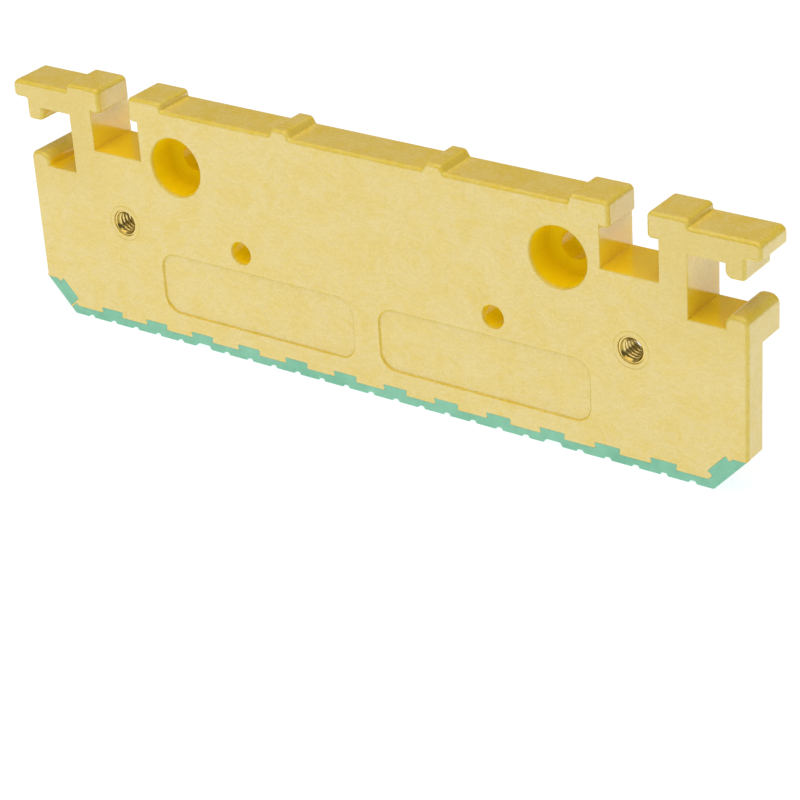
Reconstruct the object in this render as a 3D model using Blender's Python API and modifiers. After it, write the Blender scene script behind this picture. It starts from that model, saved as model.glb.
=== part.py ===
"""Leg of a table-saw push block: a moulded plate with two hanger heads, a
non-slip rubber foot keyed into its lower edge, and two brass inserts.

Metres, +Z up. X runs along the leg, the flat front face looks along -Y, and
the origin is on the ground under the middle of the bounding box.
"""
import math

import bmesh
import bpy
from mathutils import Matrix

MM = 0.001
GAP = 0.3 * MM                     # left between two pieces that touch

# ---- driving dimensions: half lengths along X --------------------------------
WALL_X = 114.3 * MM                # end wall, half of a 228.6 mm (9 in) plate
CHAMFER_X = 104.6 * MM             # where the corner chamfer meets the ground
ARM_X = 117.8 * MM                 # outer end of a hanger arm
HOOK_OUT_X = 113.45 * MM
HOOK_IN_X = 107.7 * MM
POST_X = 107.6 * MM                # inner side of the post on the end wall
STEM_OUT_X = 97.75 * MM
STEM_IN_X = 89.8 * MM
HEAD_STEP_X = 98.05 * MM           # raised part of a hanger head ends here
HEAD_IN_X = 86.5 * MM
LIP_X = 76.0 * MM                  # lip on the end of the centre block
BLOCK_X = 73.2 * MM
BLOCK_STEP_X = 64.4 * MM           # raised end of the centre block
HUMP_X = 24.4 * MM                 # locating hump on the block's top
HUMP_BASE = 6.8 * MM
HUMP_TOP = 4.4 * MM

# ---- driving dimensions: heights ---------------------------------------------
CHAMFER_TOP = 10.5 * MM
LEDGE_Z = 40.0 * MM                # plate is thin below this, thick above
NOTCH_Z = 45.5 * MM
POST_TOP = 49.3 * MM
POCKET_Z = 53.7 * MM
HOOK_Z = 58.8 * MM
ARM_UNDER = 62.9 * MM
ARM_STEP_Z = 62.4 * MM             # the band thins to an arm's depth here
TOP_STEP_Z = 64.5 * MM             # and to the depth of the heads and top here
LIP_UNDER = 64.8 * MM
ARM_END_UNDER = 64.9 * MM
LOW_TOP = 70.0 * MM
HIGH_TOP = 72.0 * MM

# ---- driving dimensions: thicknesses from the front face ---------------------
BAND = 16.06 * MM                  # 5/8 in centre band
HEAD = 12.6 * MM                   # 1/2 in hanger heads and block top
PLATE = 7.45 * MM                  # lower plate and foot
FRONT = -BAND / 2
STEM_STEP_INSET = 0.4 * MM         # how far the arm's step reaches into a stem
OUTER_ROUND = 1.2 * MM             # rounding of the outer edges in front
INNER_ROUND = 0.3 * MM             # of the notches, pockets and underside
BACK_ROUND = 0.25 * MM             # of the back and of the sharp corners
SHARP = 38                         # degrees; edges sharper than this are rounded

# ---- holes -------------------------------------------------------------------
BOLT_X = 61.0 * MM
BOLT_Z = 54.1 * MM
BOLT_HEAD_R = 8.4 * MM
BOLT_HEAD_DEPTH = 8.66 * MM
BOLT_HOLE_R = 4.3 * MM
PIN_HOLE_X = 40.75 * MM
PIN_HOLE_Z = 32.9 * MM
PIN_HOLE_R = 3.25 * MM
BOLT_MOUTH = 0.6 * MM              # flare of a hole's mouth
PIN_MOUTH = 0.35 * MM
SEAT_CORNER = 0.3 * MM             # chamfers at the floor of the counterbore
INSERT_X = 81.6 * MM
INSERT_Z = 33.3 * MM
INSERT_R = 3.85 * MM
INSERT_BORE_R = 2.95 * MM          # plain bore standing for a 1/4-20 thread
INSERT_SINK = 0.3 * MM             # below the front and back of the plate
INSERT_LEAD = 0.3 * MM             # chamfer at each end of the bore
ROUND_SIDES = 32

# ---- shallow panels on the front face ----------------------------------------
PANEL_IN_X = 4.0 * MM
PANEL_OUT_X = 69.6 * MM
PANEL_LOW = 9.0 * MM
PANEL_HIGH = 27.4 * MM
PANEL_ROUND = 5.0 * MM
PANEL_DEPTH = 0.6 * MM

# ---- rubber foot -------------------------------------------------------------
PITCH = 8.22 * MM                  # spacing of the grooves, half that of the keys
FOOT_LINE = 2.6 * MM               # plain height of the strip
KEY_TOP = 4.3 * MM
KEY_WIDE = 7.7 * MM                # dovetail key, at its top and at its neck
KEY_NECK = 6.9 * MM
KEY_COUNT = 12
CORNER_LAYER = 2.8 * MM            # rubber measured square to the chamfer
CORNER_KEY = 4.6 * MM
CORNER_KEY_START = 2.4 * MM        # key's ends, measured along the chamfer
CORNER_KEY_END = 10.0 * MM
CORNER_UNDERCUT = 0.3 * MM
CORNER_TOP = 10.0 * MM
WEB = 0.5 * MM                     # plastic between the strip and the corner pad
GROOVES = 12                       # grooves each side of the middle one
GROOVE_WIDE = 2.5 * MM
GROOVE_DEEP = 0.9 * MM
BIG_GROOVE = 7                     # this one, counted from the middle, is wider
BIG_GROOVE_WIDE = 6.0 * MM
BIG_GROOVE_DEEP = 1.3 * MM

REACH = 5 * MM                     # how far a cutter passes a surface it cuts
ARC_STEPS = 3                      # straight pieces in a rounded corner


def clear_scene():
    for thing in list(bpy.data.objects):
        bpy.data.objects.remove(thing, do_unlink=True)


def new_collection(name):
    group = bpy.data.collections.new(name)
    bpy.context.scene.collection.children.link(group)
    return group


def material(name, color, roughness, metallic=0.0):
    made = bpy.data.materials.new(name)
    made.use_nodes = True
    shader = made.node_tree.nodes["Principled BSDF"]
    shader.inputs["Base Color"].default_value = (*color, 1.0)
    shader.inputs["Roughness"].default_value = roughness
    shader.inputs["Metallic"].default_value = metallic
    return made


# ---- outlines ----------------------------------------------------------------
def rounded(corners, steps=ARC_STEPS):
    """Outline through (x, z, radius) corners, each turned into an arc."""
    outline = []
    count = len(corners)
    for i, (x, z, radius) in enumerate(corners):
        before = corners[i - 1]
        after = corners[(i + 1) % count]
        if radius <= 0:
            outline.append((x, z))
            continue
        back = math.atan2(before[1] - z, before[0] - x)
        ahead = math.atan2(after[1] - z, after[0] - x)
        opening = (ahead - back + math.pi) % (2 * math.pi) - math.pi
        half = abs(opening) / 2
        middle = back + opening / 2
        centre_x = x + radius / math.sin(half) * math.cos(middle)
        centre_z = z + radius / math.sin(half) * math.sin(middle)
        sweep = math.copysign(math.pi - 2 * half, opening)
        for step in range(steps + 1):
            angle = middle + math.pi + sweep * (0.5 - step / steps)
            outline.append((centre_x + radius * math.cos(angle),
                            centre_z + radius * math.sin(angle)))
    return outline


def plate_corners():
    """Right half of the whole leg seen from the front, ground to top."""
    half_base = HUMP_BASE / 2
    half_top = HUMP_TOP / 2
    return [
        (CHAMFER_X, 0, 1.0 * MM),
        (WALL_X, CHAMFER_TOP, 0),
        (WALL_X, POST_TOP, 2.5 * MM),
        (POST_X, POST_TOP, 3.0 * MM),
        (POST_X, NOTCH_Z, 0),
        (STEM_OUT_X, NOTCH_Z, 0),
        (STEM_OUT_X, ARM_UNDER, 0),
        (HOOK_IN_X, ARM_UNDER, 0),
        (HOOK_IN_X, HOOK_Z, 2.2 * MM),
        (HOOK_OUT_X, HOOK_Z, 1.25 * MM),
        (HOOK_OUT_X, ARM_END_UNDER, 0.4 * MM),
        (ARM_X, ARM_END_UNDER, 1.25 * MM),
        (ARM_X, LOW_TOP, 2.0 * MM),
        (HEAD_STEP_X, LOW_TOP, 0.4 * MM),
        (HEAD_STEP_X, HIGH_TOP, 1.3 * MM),
        (HEAD_IN_X, HIGH_TOP, 1.6 * MM),
        (HEAD_IN_X, LIP_UNDER, 1.25 * MM),
        (STEM_IN_X, LIP_UNDER, 0),
        (STEM_IN_X, POCKET_Z, 0),
        (BLOCK_X, POCKET_Z, 0),
        (BLOCK_X, LIP_UNDER, 0),
        (LIP_X, LIP_UNDER, 1.25 * MM),
        (LIP_X, HIGH_TOP, 1.6 * MM),
        (BLOCK_STEP_X, HIGH_TOP, 1.3 * MM),
        (BLOCK_STEP_X, LOW_TOP, 0.4 * MM),
        (HUMP_X + half_base, LOW_TOP, 0.6 * MM),
        (HUMP_X + half_top, HIGH_TOP, 1.3 * MM),
        (HUMP_X - half_top, HIGH_TOP, 1.3 * MM),
        (HUMP_X - half_base, LOW_TOP, 0.6 * MM),
    ]


def both_sides(right):
    """Close a right half with its mirror image."""
    left = [(-corner[0], *corner[1:]) for corner in reversed(right)]
    return right + left


def on_chamfer(along, inwards):
    """Point given along the right chamfer from the ground and square to it."""
    length = math.hypot(WALL_X - CHAMFER_X, CHAMFER_TOP)
    run = (WALL_X - CHAMFER_X) / length
    rise = CHAMFER_TOP / length
    return (CHAMFER_X + along * run - inwards * rise,
            along * rise + inwards * run)


def chamfer_inwards_at(z, inwards):
    """X of the line that lies a distance inside the right chamfer."""
    foot_x, foot_z = on_chamfer(0, inwards)
    return foot_x + (z - foot_z) * (WALL_X - CHAMFER_X) / CHAMFER_TOP


def corner_seam():
    """Seam between plastic and rubber round the right corner, ground upwards."""
    start = CORNER_KEY_START
    end = CORNER_KEY_END
    return [
        (chamfer_inwards_at(FOOT_LINE, CORNER_LAYER), FOOT_LINE),
        on_chamfer(start + CORNER_UNDERCUT, CORNER_LAYER),
        on_chamfer(start, CORNER_KEY),
        on_chamfer(end, CORNER_KEY),
        on_chamfer(end - CORNER_UNDERCUT, CORNER_LAYER),
        (chamfer_inwards_at(CORNER_TOP, CORNER_LAYER), CORNER_TOP),
        (WALL_X + REACH, CORNER_TOP),
    ]


def key_seam():
    """Seam along the bottom with its row of dovetail keys, left to right."""
    seam = []
    for index in range(KEY_COUNT):
        centre = (2 * index - KEY_COUNT + 1) * PITCH
        seam.append((centre - KEY_NECK / 2, FOOT_LINE))
        seam.append((centre - KEY_WIDE / 2, KEY_TOP))
        seam.append((centre + KEY_WIDE / 2, KEY_TOP))
        seam.append((centre + KEY_NECK / 2, FOOT_LINE))
    return seam


def moved(line, distance):
    """Open line moved to its left by a distance, with mitred corners."""
    normals = []
    for (ax, az), (bx, bz) in zip(line, line[1:]):
        length = math.hypot(bx - ax, bz - az)
        normals.append(((az - bz) / length, (bx - ax) / length))
    result = []
    for i, (x, z) in enumerate(line):
        before = normals[max(i - 1, 0)]
        after = normals[min(i, len(normals) - 1)]
        spread = 1 + before[0] * after[0] + before[1] * after[1]
        result.append((x + distance * (before[0] + after[0]) / spread,
                       z + distance * (before[1] + after[1]) / spread))
    return result


def closed_below(line):
    """Area under an open seam, down past the ground."""
    right = line[-1][0]
    left = line[0][0]
    return line + [(right, -REACH), (left, -REACH)]


def strip_area(clearance):
    """Rubber strip with its right corner; its left end stops at the web."""
    end_along = CORNER_KEY_START - WEB / 2
    inner_x, inner_z = on_chamfer(end_along, CORNER_LAYER)
    outer_x, outer_z = on_chamfer(end_along, -REACH)
    start = chamfer_inwards_at(FOOT_LINE, CORNER_LAYER)
    seam = [(-outer_x, outer_z), (-inner_x, inner_z), (-start, FOOT_LINE)]
    return closed_below(moved(seam + key_seam() + corner_seam(), clearance))


def pad_area(clearance):
    """Rubber pad on the left chamfer, above the web."""
    start = CORNER_KEY_START + WEB / 2
    low_x, low_z = on_chamfer(start, CORNER_KEY)
    out_x, out_z = on_chamfer(start, -REACH)
    upper = [(-x, z) for x, z in reversed(corner_seam()[3:])]
    seam = upper + [(-low_x, low_z), (-out_x, out_z)]
    area = moved(seam, clearance)
    return area + [(-WALL_X - REACH, out_z - REACH)]


# ---- solids ------------------------------------------------------------------
def prism(name, outline, front, back, group):
    """Solid of a front-view outline between two depths, as a mesh object."""
    curve = bpy.data.curves.new(name, "CURVE")
    curve.dimensions = "2D"
    curve.fill_mode = "BOTH"
    curve.extrude = (back - front) / 2
    spline = curve.splines.new("POLY")
    spline.points.add(len(outline) - 1)
    for point, (x, z) in zip(spline.points, outline):
        point.co = (x, z, 0, 1)
    spline.use_cyclic_u = True
    flat = bpy.data.objects.new(name + "_outline", curve)
    flat.rotation_euler = (math.pi / 2, 0, 0)
    flat.location = (0, (front + back) / 2, 0)
    group.objects.link(flat)
    bpy.context.view_layer.update()
    seen = flat.evaluated_get(bpy.context.evaluated_depsgraph_get())
    mesh = bpy.data.meshes.new_from_object(seen)
    bm = bmesh.new()
    bm.from_mesh(mesh)
    bmesh.ops.remove_doubles(bm, verts=bm.verts, dist=0.001 * MM)
    for side in (-1, 1):
        cap = [face for face in bm.faces
               if all(vert.co.z * side > 0 for vert in face.verts)]
        bmesh.ops.dissolve_faces(bm, faces=cap)
    bmesh.ops.recalc_face_normals(bm, faces=bm.faces)
    bm.to_mesh(mesh)
    bm.free()
    solid = bpy.data.objects.new(name, mesh)
    solid.matrix_world = flat.matrix_world.copy()
    group.objects.link(solid)
    bpy.data.objects.remove(flat, do_unlink=True)
    return solid


def box(name, low, high, group):
    bm = bmesh.new()
    bmesh.ops.create_cube(bm, size=1)
    size = [b - a for a, b in zip(low, high)]
    centre = [(a + b) / 2 for a, b in zip(low, high)]
    bmesh.ops.transform(bm, matrix=Matrix.Diagonal((*size, 1)), verts=bm.verts)
    bmesh.ops.translate(bm, vec=centre, verts=bm.verts)
    mesh = bpy.data.meshes.new(name)
    bm.to_mesh(mesh)
    bm.free()
    solid = bpy.data.objects.new(name, mesh)
    group.objects.link(solid)
    return solid


def turned(name, profile, x, z, group):
    """Profile of (radius, depth from the front face) turned about an axis
    along Y; its first and last points lie on the axis or the loop is closed."""
    mesh = bpy.data.meshes.new(name)
    corners = [(radius, -depth, 0) for radius, depth in profile]
    closed = profile[0][0] > 0
    links = [(i, i + 1) for i in range(len(corners) - 1)]
    if closed:
        links.append((len(corners) - 1, 0))
    mesh.from_pydata(corners, links, [])
    solid = bpy.data.objects.new(name, mesh)
    solid.location = (x, FRONT, z)
    solid.rotation_euler = (math.pi, 0, 0)
    group.objects.link(solid)
    screw = solid.modifiers.new("Turn", "SCREW")
    screw.axis = "Y"
    screw.steps = ROUND_SIDES
    screw.render_steps = ROUND_SIDES
    screw.use_merge_vertices = True
    screw.merge_threshold = 0.001 * MM
    return solid


def as_cutter(solid):
    solid.hide_render = True
    solid.display_type = "WIRE"
    return solid


def boolean(solid, cutter, operation="DIFFERENCE"):
    cut = solid.modifiers.new(cutter.name, "BOOLEAN")
    cut.operation = operation
    cut.object = cutter
    cut.solver = "EXACT"


def mouth_profile(radius, flare):
    """Start of a hole's profile, its mouth flared round at the front face."""
    profile = [(0, -REACH), (radius + flare, -REACH)]
    for step in range(ARC_STEPS + 1):
        angle = math.pi / 2 * step / ARC_STEPS
        profile.append((radius + flare * (1 - math.sin(angle)),
                        flare * (1 - math.cos(angle))))
    return profile


def bolt_profile():
    """Counterbored bolt hole with small chamfers at the counterbore's floor."""
    through = BAND + REACH
    return mouth_profile(BOLT_HEAD_R, BOLT_MOUTH) + [
        (BOLT_HEAD_R, BOLT_HEAD_DEPTH - SEAT_CORNER),
        (BOLT_HEAD_R - SEAT_CORNER, BOLT_HEAD_DEPTH),
        (BOLT_HOLE_R + SEAT_CORNER, BOLT_HEAD_DEPTH),
        (BOLT_HOLE_R, BOLT_HEAD_DEPTH + SEAT_CORNER),
        (BOLT_HOLE_R, through), (0, through)]


def pin_profile():
    return mouth_profile(PIN_HOLE_R, PIN_MOUTH) + [
        (PIN_HOLE_R, PLATE + REACH), (0, PLATE + REACH)]


# ---- the pieces --------------------------------------------------------------
def back_cutters(group):
    """Areas behind the thin lower plate, and behind the heads and arms."""
    far_x = ARM_X + REACH
    far_z = HIGH_TOP + REACH
    lower = box("below_ledge", (-far_x, FRONT + PLATE, -REACH),
                (far_x, BAND, LEDGE_Z), group)
    notch_x = (STEM_OUT_X + HOOK_IN_X) / 2
    notch_z = POST_TOP + REACH
    stem_x = STEM_OUT_X - STEM_STEP_INSET
    right = [(far_x, far_z), (far_x, notch_z), (notch_x, notch_z),
             (notch_x, ARM_STEP_Z), (stem_x, ARM_STEP_Z), (stem_x, TOP_STEP_Z)]
    upper = prism("behind_heads", both_sides(right), FRONT + HEAD, BAND, group)
    return [as_cutter(lower), as_cutter(upper)]


def edge_width(edge):
    """How far one edge of the leg is rounded. The blank's own axes are x, the
    height, and the depth counted towards the front."""
    one, two = (vert.co for vert in edge.verts)
    if min(one.z, two.z) < 0:
        return BACK_ROUND
    x = abs(one.x + two.x) / 2
    z = (one.y + two.y) / 2
    near = 0.05 * MM
    notch = (STEM_OUT_X - near < x < POST_X - near
             and NOTCH_Z - near < z < ARM_UNDER + near)
    pocket = (BLOCK_X - near < x < STEM_IN_X + near
              and POCKET_Z - near < z < LIP_UNDER - near)
    if notch or pocket or z < CHAMFER_TOP - near:
        return INNER_ROUND
    return OUTER_ROUND


def round_edges(solid):
    """Round the sharp edges, each as far as its place on the leg asks."""
    bm = bmesh.new()
    bm.from_mesh(solid.data)
    weights = bm.edges.layers.float.new("bevel_weight_edge")
    for edge in bm.edges:
        if edge.calc_face_angle(0) > math.radians(SHARP):
            edge[weights] = edge_width(edge) / OUTER_ROUND
    bm.to_mesh(solid.data)
    bm.free()
    edges = solid.modifiers.new("Edges", "BEVEL")
    edges.width = OUTER_ROUND
    edges.segments = 2
    edges.limit_method = "WEIGHT"
    edges.loop_slide = False
    edges.use_clamp_overlap = False


def leg_blank(name, parts, cutters):
    """Whole leg with rounded edges and stepped back, before holes and seam."""
    outline = rounded(both_sides(plate_corners()))
    blank = prism(name, outline, FRONT, -FRONT, parts)
    round_edges(blank)
    for cutter in cutters:
        boolean(blank, cutter)
    return blank


def hole_cutters(group):
    made = []
    for side, word in ((-1, "left"), (1, "right")):
        made.append(turned("bolt_hole_" + word, bolt_profile(), side * BOLT_X,
                           BOLT_Z, group))
        made.append(turned("pin_hole_" + word, pin_profile(),
                           side * PIN_HOLE_X, PIN_HOLE_Z, group))
        socket = [(0, -REACH), (INSERT_R + GAP, -REACH),
                  (INSERT_R + GAP, PLATE + REACH), (0, PLATE + REACH)]
        made.append(turned("insert_socket_" + word, socket, side * INSERT_X,
                           INSERT_Z, group))
        near, far = sorted((side * PANEL_IN_X, side * PANEL_OUT_X))
        panel = [(near, PANEL_LOW, PANEL_ROUND), (far, PANEL_LOW, PANEL_ROUND),
                 (far, PANEL_HIGH, PANEL_ROUND), (near, PANEL_HIGH, PANEL_ROUND)]
        made.append(prism("panel_" + word, rounded(panel, 2 * ARC_STEPS),
                          FRONT - REACH, FRONT + PANEL_DEPTH, group))
    return [as_cutter(cutter) for cutter in made]


def leg_body(parts, cutters, backs, plastic):
    body = leg_blank("leg_body", parts, backs)
    for name, area in (("strip_room", strip_area(GAP / 2)),
                       ("pad_room", pad_area(GAP / 2))):
        room = prism(name, area, FRONT - REACH, REACH, cutters)
        boolean(body, as_cutter(room))
    for cutter in hole_cutters(cutters):
        boolean(body, cutter)
    body.data.materials.append(plastic)
    return body


def groove_cutters(group):
    """Grip grooves across the underside, one prism for each."""
    grooves = []
    for index in range(-GROOVES, GROOVES + 1):
        big = abs(index) == BIG_GROOVE
        wide = BIG_GROOVE_WIDE if big else GROOVE_WIDE
        deep = BIG_GROOVE_DEEP if big else GROOVE_DEEP
        low, high = index * PITCH - wide / 2, index * PITCH + wide / 2
        slope = deep / 2
        outline = [(low, -REACH), (high, -REACH), (high, 0),
                   (high - slope, deep), (low + slope, deep), (low, 0)]
        grooves.append(prism(f"groove_{index + GROOVES + 1:02d}", outline,
                             FRONT - REACH, REACH, group))
    return [as_cutter(groove) for groove in grooves]


def foot_strip(parts, cutters, backs, rubber):
    strip = leg_blank("foot_strip", parts, backs)
    area = prism("strip_shape", strip_area(-GAP / 2), FRONT - REACH, REACH,
                 cutters)
    boolean(strip, as_cutter(area), "INTERSECT")
    for groove in groove_cutters(cutters):
        boolean(strip, groove)
    strip.data.materials.append(rubber)
    return strip


def foot_corner_pad(parts, cutters, backs, rubber):
    pad = leg_blank("foot_corner_pad", parts, backs)
    area = prism("pad_shape", pad_area(-GAP / 2), FRONT - REACH, REACH, cutters)
    boolean(pad, as_cutter(area), "INTERSECT")
    pad.data.materials.append(rubber)
    return pad


def threaded_insert(side, word, parts, brass):
    """Brass bush with a plain bore, sunk a little below both faces of the
    thin plate."""
    near = INSERT_SINK
    far = PLATE - INSERT_SINK
    lead = INSERT_LEAD
    profile = [(INSERT_BORE_R + lead, near), (INSERT_R, near),
               (INSERT_R, far), (INSERT_BORE_R + lead, far),
               (INSERT_BORE_R, far - lead), (INSERT_BORE_R, near + lead)]
    insert = turned("threaded_insert_" + word, profile, side * INSERT_X,
                    INSERT_Z, parts)
    insert.data.materials.append(brass)
    return insert


def main():
    clear_scene()
    parts = new_collection("push_block_leg")
    cutters = new_collection("push_block_leg_cutters")
    plastic = material("yellow_plastic", (0.80, 0.62, 0.20), 0.45)
    rubber = material("green_rubber", (0.24, 0.60, 0.45), 0.7)
    brass = material("brass", (0.72, 0.55, 0.25), 0.3, 1.0)
    backs = back_cutters(cutters)
    leg_body(parts, cutters, backs, plastic)
    foot_strip(parts, cutters, backs, rubber)
    foot_corner_pad(parts, cutters, backs, rubber)
    threaded_insert(-1, "left", parts, brass)
    threaded_insert(1, "right", parts, brass)


main()
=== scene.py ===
import math

import bmesh
import bpy
from mathutils import Matrix, Vector


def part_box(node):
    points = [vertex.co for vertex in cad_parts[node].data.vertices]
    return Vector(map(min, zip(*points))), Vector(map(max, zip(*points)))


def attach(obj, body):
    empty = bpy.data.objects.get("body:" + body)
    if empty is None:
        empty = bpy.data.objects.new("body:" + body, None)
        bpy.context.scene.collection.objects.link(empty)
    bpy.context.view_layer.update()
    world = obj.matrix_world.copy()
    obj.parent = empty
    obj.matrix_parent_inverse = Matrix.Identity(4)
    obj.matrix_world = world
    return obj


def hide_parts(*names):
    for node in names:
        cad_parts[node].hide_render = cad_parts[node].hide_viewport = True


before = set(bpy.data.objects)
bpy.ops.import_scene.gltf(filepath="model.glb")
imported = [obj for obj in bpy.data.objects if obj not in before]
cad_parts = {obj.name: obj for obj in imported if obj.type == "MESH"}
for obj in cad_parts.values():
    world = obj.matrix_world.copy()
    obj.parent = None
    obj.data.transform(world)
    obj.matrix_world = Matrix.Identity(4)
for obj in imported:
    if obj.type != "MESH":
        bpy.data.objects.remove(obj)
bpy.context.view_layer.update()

MM = 0.001
GAP = 0.05 * MM                    # hairline between two pieces that touch

# ---- places read from the frame ----------------------------------------------
LOW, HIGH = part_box("leg_body")
FRONT = LOW[1]
BAND = HIGH[1] - LOW[1]            # depth of the thick centre band
ARM_X = HIGH[0]
HIGH_TOP = HIGH[2]
FOOT_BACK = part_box("foot_strip")[1][1]
PLATE = FOOT_BACK - FRONT          # depth of the lower plate and the foot
INSERT_LOW, INSERT_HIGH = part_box("threaded_insert_right")
INSERT_X = (INSERT_LOW[0] + INSERT_HIGH[0]) / 2
INSERT_Z = (INSERT_LOW[2] + INSERT_HIGH[2]) / 2
INSERT_NEAR = INSERT_LOW[1]
INSERT_FAR = INSERT_HIGH[1]

# ---- half lengths along X ----------------------------------------------------
WALL_X = 114.3 * MM
CHAMFER_X = 104.6 * MM
HOOK_OUT_X = 113.45 * MM
HOOK_IN_X = 107.7 * MM
POST_X = 107.6 * MM
STEM_OUT_X = 97.75 * MM
STEM_IN_X = 89.8 * MM
HEAD_STEP_X = 98.05 * MM
HEAD_IN_X = 86.5 * MM
LIP_X = 76.0 * MM
BLOCK_X = 73.2 * MM
BLOCK_STEP_X = 64.4 * MM
HUMP_X = 24.4 * MM
HUMP_BASE = 6.8 * MM
HUMP_TOP = 4.4 * MM

# ---- heights -----------------------------------------------------------------
CHAMFER_TOP = 10.5 * MM
LEDGE_Z = 40.0 * MM
NOTCH_Z = 45.5 * MM
POST_TOP = 49.3 * MM
POCKET_Z = 53.7 * MM
HOOK_Z = 58.8 * MM
ARM_UNDER = 62.9 * MM
LIP_UNDER = 64.8 * MM
ARM_END_UNDER = 64.9 * MM
LOW_TOP = 70.0 * MM

HEAD = 12.6 * MM                   # depth of the hanger heads and block top
OUTER_ROUND = 1.2 * MM             # rounding of the outer edges in front
INNER_ROUND = 0.3 * MM             # of the notches, pockets and underside
BACK_ROUND = 0.25 * MM

# ---- corner radii of the front outline ---------------------------------------
CHAMFER_ROUND = 1.0 * MM           # where the chamfer meets the ground
POST_OUT_ROUND = 2.5 * MM
POST_IN_ROUND = 3.0 * MM
HOOK_ROUND = 2.2 * MM              # lower inner corner of the hook
TIP_ROUND = 1.25 * MM              # lower corners of hook, arm, head and lip
ARM_ROUND = 2.0 * MM               # upper outer corner of the arm
NOOK_ROUND = 0.4 * MM              # inner corners of the steps
STEP_ROUND = 1.3 * MM              # upper corners of the steps and humps
TOP_ROUND = 1.6 * MM               # upper corners of the heads and lips
HUMP_ROUND = 0.6 * MM              # where a hump rises from the block

# ---- holes and panels --------------------------------------------------------
BOLT_X = 61.0 * MM
BOLT_Z = 54.1 * MM
BOLT_HEAD_R = 8.4 * MM
BOLT_HEAD_DEPTH = 8.66 * MM
BOLT_HOLE_R = 4.3 * MM
PIN_HOLE_X = 40.75 * MM
PIN_HOLE_Z = 32.9 * MM
PIN_HOLE_R = 3.25 * MM
MOUTH_ROUND = 0.6 * MM
SEAT_CORNER = 0.3 * MM             # small chamfers in the counterbore
PIN_MOUTH = 0.35 * MM
PANEL_IN_X = 4.0 * MM
PANEL_OUT_X = 69.6 * MM
PANEL_LOW = 9.0 * MM
PANEL_HIGH = 27.4 * MM
PANEL_ROUND = 5.0 * MM
PANEL_DEPTH = 0.6 * MM
PANEL_STEEP = 0.25 * MM            # slope of the left and lower panel walls
PANEL_SLANT = 0.60 * MM            # slope of the right and upper ones
RING_R = 5.1 * MM                  # fine groove moulded round each insert
RING_WIDE = 0.35 * MM
RING_DEEP = 0.12 * MM

# ---- threaded inserts --------------------------------------------------------
INSERT_R = 3.85 * MM
THREAD_MAJOR = 3.3 * MM
THREAD_MINOR = 2.6 * MM
MOUTH_R = 3.45 * MM                # chamfered mouth of the threaded bore
RIM = 0.15 * MM
THREAD_PITCH = 1.27 * MM
THREAD_SIDES = 144
THREAD_ROWS = 14                   # rows of faces in one turn of the thread
THREAD_ROOT = 0.12                 # share of a ridge that is flat root
THREAD_FLANK = 0.76                # share that is sloping flank
COLLAR = 1.5 * MM                  # smooth collar at each end of the insert
NECK_START = 1.7 * MM              # groove between a collar and the knurling
NECK_END = 2.0 * MM
KNURL_START = 2.1 * MM
KNURLS = 36
KNURL_DEEP = 0.18 * MM

# ---- rubber foot -------------------------------------------------------------
PITCH = 8.22 * MM                  # from groove to groove, half of key to key
FOOT_LINE = 2.6 * MM               # height of the seam between the keys
KEY_TOP = 4.3 * MM
KEY_WIDE = 7.7 * MM
KEY_NECK = 6.9 * MM
KEY_COUNT = 12
KEY_ROUND = 0.35 * MM
CORNER_LAYER = 2.8 * MM            # thickness of the rubber on a chamfer
CORNER_KEY = 4.6 * MM              # and at the key that locks it
CORNER_KEY_START = 2.4 * MM
CORNER_KEY_END = 10.0 * MM
CORNER_UNDERCUT = 0.3 * MM
CORNER_TOP = 10.0 * MM
WEB = 0.5 * MM                     # plastic between the strip and the pad
GROOVES = 12                       # on each side of the middle one
GROOVE_WIDE = 2.5 * MM
GROOVE_DEEP = 0.9 * MM
BIG_GROOVE = 7                     # this one on each side is larger
BIG_GROOVE_WIDE = 6.0 * MM
BIG_GROOVE_DEEP = 1.3 * MM
GROOVE_ROUND = 0.4 * MM

# ---- mesh making -------------------------------------------------------------
REACH = 5 * MM                     # how far a cutter runs past the leg
TOUCH = 0.05 * MM                  # slack in telling where an edge lies
FRONT_SLACK = 0.01 * MM
PLACES = 1e7                       # steps in a metre, for matching points
SLIVER = 0.02 * MM                 # edges shorter than this are collapsed
ARC_STEPS = 8
FEW_STEPS = 4
ROUND_SIDES = 96
BEVEL_STEPS = 5
BEVEL_ANGLE = math.radians(38)     # the leg's sharper edges are rounded
SMOOTH_ANGLE = math.radians(40)    # edges below it are shaded smooth
INSERT_SMOOTH = math.radians(50)
FLAT_WEIGHT = 80                   # how much large faces rule the shading

# ---- camera and stage --------------------------------------------------------
AZIMUTH = 36.68                    # of the camera, in degrees
ELEVATION = 28.092
ROLL = -3.874
LENS = 122.31                      # in millimetres, as is the sensor
DISTANCE = 0.7302                  # from the aim, in metres
AIM = Vector((6.76, -4.24, -1.70)) * MM
SENSOR = 36
CLIP = (0.01, 20)
WARM = (1.0, 0.88, 0.72)           # colour of the lights
FLOOR_SIZE = 6                     # half its width, in metres
FLOOR_GREY = (0.25, 0.25, 0.25, 1)
FLOOR_GLOW = (0.96, 0.98, 1, 1)
FLOOR_GLOW_STRENGTH = 0.89
WORLD_STRENGTH = 0.16

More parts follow.
